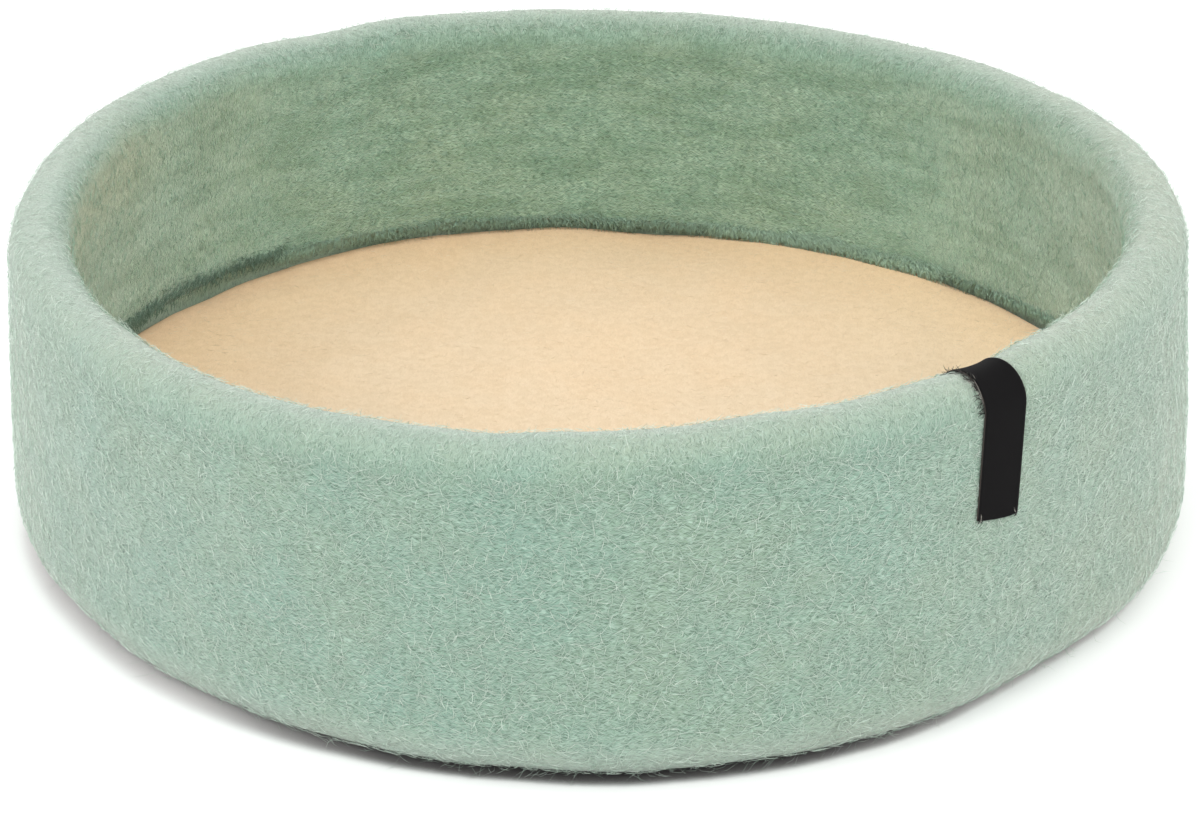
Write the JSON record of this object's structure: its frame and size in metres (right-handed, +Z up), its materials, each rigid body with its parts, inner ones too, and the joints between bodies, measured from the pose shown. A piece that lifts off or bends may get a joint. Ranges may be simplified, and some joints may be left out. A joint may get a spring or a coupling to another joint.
{
  "type": "felt dog basket",
  "caption": "Round, open pet bed of thick grey-green felt with a rolled-in rim, a cream felt pad inside and a black ribbon folded over the rim.",
  "frame": {"origin": "middle of the basket's outline on the surface it stands on", "axes": "+Z up; -Y is the front, the side nearest the camera in the picture; +X is to the right seen from the front"},
  "size_m": [0.5088, 0.505, 0.1531],
  "materials": {
    "green_felt": "grey-green wool felt with loose surface fibres",
    "cream_felt": "cream wool felt, flatter and denser",
    "black_ribbon": "ribbed woven ribbon, matt"
  },
  "bodies": {
    "root": {"felt_shell": "green_felt", "felt_pad": "cream_felt", "ribbon_label": "black_ribbon"}
  },
  "joints": []
}
